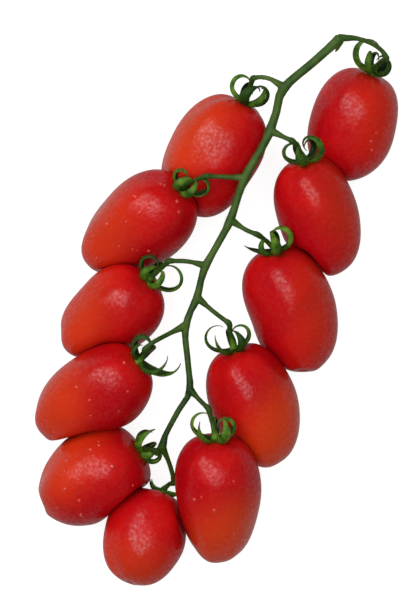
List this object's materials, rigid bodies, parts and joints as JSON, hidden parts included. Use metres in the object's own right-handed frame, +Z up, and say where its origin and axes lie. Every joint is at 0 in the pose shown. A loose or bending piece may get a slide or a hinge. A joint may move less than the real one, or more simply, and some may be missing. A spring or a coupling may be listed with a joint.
{
  "type": "truss of tomatoes",
  "caption": "Truss of ripe plum tomatoes still joined to their green stem, lying on its side, for kitchen, market and still-life scenes.",
  "frame": {"origin": "centre of the bounding box in plan, on the table that the truss lies on", "axes": "+Y up the truss towards the cut end of the stem, +X to the right of it, +Z up from the table"},
  "size_m": [0.1278, 0.192, 0.0427],
  "materials": {
    "ripe_tomato_skin": "smooth waxy skin, satin gloss, red to orange red",
    "calyx_green": "matt, finely haired green",
    "stem_green": "matt, finely haired green"
  },
  "bodies": {
    "root": {"rachis": "stem_green", "tomato_01": "ripe_tomato_skin", "calyx_01": "calyx_green", "pedicel_01": "stem_green", "tomato_02": "ripe_tomato_skin", "calyx_02": "calyx_green", "pedicel_02": "stem_green", "tomato_03": "ripe_tomato_skin", "calyx_03": "calyx_green", "pedicel_03": "stem_green", "tomato_04": "ripe_tomato_skin", "calyx_04": "calyx_green", "pedicel_04": "stem_green", "tomato_05": "ripe_tomato_skin", "calyx_05": "calyx_green", "pedicel_05": "stem_green", "tomato_06": "ripe_tomato_skin", "calyx_06": "calyx_green", "pedicel_06": "stem_green", "tomato_07": "ripe_tomato_skin", "calyx_07": "calyx_green", "pedicel_07": "stem_green", "tomato_08": "ripe_tomato_skin", "calyx_08": "calyx_green", "pedicel_08": "stem_green", "tomato_09": "ripe_tomato_skin", "calyx_09": "calyx_green", "pedicel_09": "stem_green", "tomato_10": "ripe_tomato_skin", "calyx_10": "calyx_green", "pedicel_10": "stem_green", "tomato_11": "ripe_tomato_skin", "calyx_11": "calyx_green", "pedicel_11": "stem_green"}
  },
  "joints": []
}
